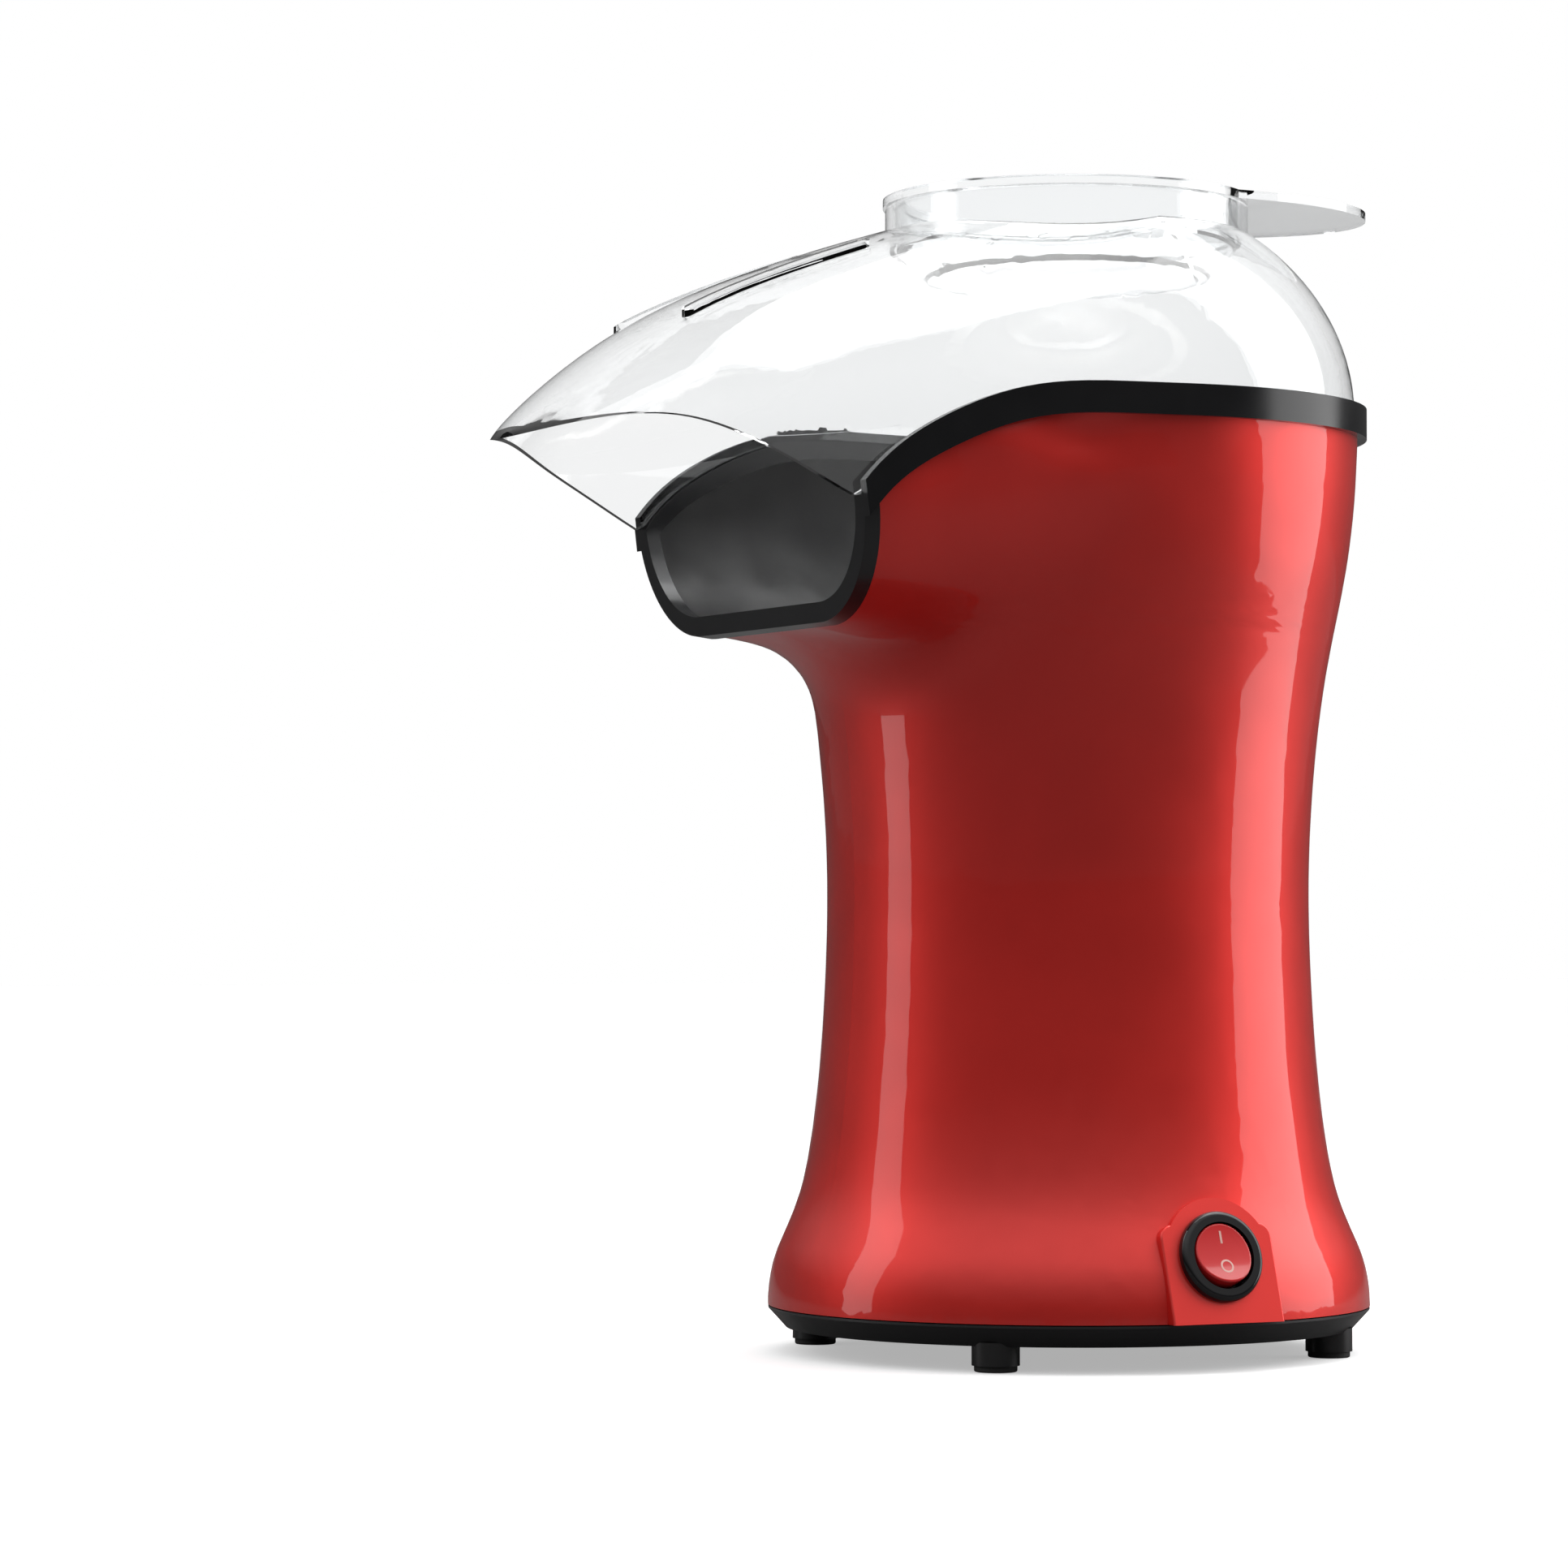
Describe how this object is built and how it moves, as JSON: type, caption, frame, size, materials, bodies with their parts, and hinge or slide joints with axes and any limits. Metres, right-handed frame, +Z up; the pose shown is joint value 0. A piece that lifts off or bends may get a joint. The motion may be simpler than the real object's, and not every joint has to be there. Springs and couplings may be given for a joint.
{
  "type": "popcorn maker",
  "caption": "Hot-air popcorn maker with a waisted red housing, black trim, clear hood with a long visor, clear measuring cup and a round rocker switch.",
  "frame": {"origin": "centre of the bounding box's footprint on the floor; the body's upright axis is 36 mm behind it", "axes": "+Z up, the spout points towards -Y, the switch is on the +X side"},
  "size_m": [0.1589, 0.2477, 0.3],
  "materials": {
    "housing_red": "glossy moulded red",
    "base_black": "fine satin black",
    "foot_rubber": "matt black rubber",
    "trim_black": "satin black",
    "liner_black": "heat-proof black moulding",
    "hood_clear": "clear moulding",
    "cup_clear": "clear moulding",
    "switch_black": "glossy black",
    "rocker_red": "translucent red",
    "terminal_brass": "plain stamped brass",
    "gland_black": "flexible black moulding",
    "chamber_aluminium": "drawn, natural",
    "screw_steel": "zinc plated",
    "duct_resin": "heat-proof resin",
    "mica": "pressed mica board",
    "coil_wire": "oxidised resistance wire",
    "thermostat_body": "moulded body",
    "fuse_case": "plated case",
    "plate_steel": "stamped, plated",
    "can_steel": "drawn, plated",
    "cap_plastic": "off-white nylon",
    "magnet_ferrite": "ferrite",
    "armature_steel": "laminations and winding",
    "shaft_steel": "ground",
    "fan_aluminium": "stamped",
    "board_green": "paper laminate",
    "diode_black": "moulded"
  },
  "bodies": {
    "housing": {"outer_housing": "housing_red", "base_plate": "base_black", "foot_pads": "foot_rubber", "trim_ring": "trim_black", "spout_liner": "liner_black", "switch_bezel": "switch_black", "switch_terminals": "terminal_brass", "cord_gland": "gland_black", "popping_chamber": "chamber_aluminium", "chamber_screws": "screw_steel", "air_duct": "duct_resin", "mica_frame": "mica", "heater_coil": "coil_wire", "thermostat": "thermostat_body", "thermal_fuse": "fuse_case", "motor_plate": "plate_steel", "motor_can": "can_steel", "motor_cap": "cap_plastic", "motor_magnets": "magnet_ferrite", "motor_screws": "screw_steel", "rectifier_board": "board_green", "rectifier_diodes": "diode_black", "base_screws": "screw_steel", "duct_screws": "screw_steel"},
    "hood": {"hood": "hood_clear"},
    "cup": {"measuring_cup": "cup_clear"},
    "rocker": {"switch_rocker": "rocker_red"},
    "fan": {"motor_shaft": "shaft_steel", "armature": "armature_steel", "impeller": "fan_aluminium"}
  },
  "joints": [
    {"name": "hood_lift", "type": "slide", "parent": "housing", "child": "hood", "axis": [0, 0, 1], "range_m": [0, 0.12]},
    {"name": "cup_lift", "type": "slide", "parent": "hood", "child": "cup", "axis": [0, 0, 1], "range_m": [0, 0.06]},
    {"name": "rocker_tilt", "type": "hinge", "parent": "housing", "child": "rocker", "pos_m": [0.07404, 0.036, 0.02801], "axis": [0, 1, 0], "range_deg": [0, 16]},
    {"name": "fan_spin", "type": "hinge", "parent": "housing", "child": "fan", "pos_m": [0, 0.036, 0.05], "axis": [0, 0, 1], "continuous": true}
  ]
}
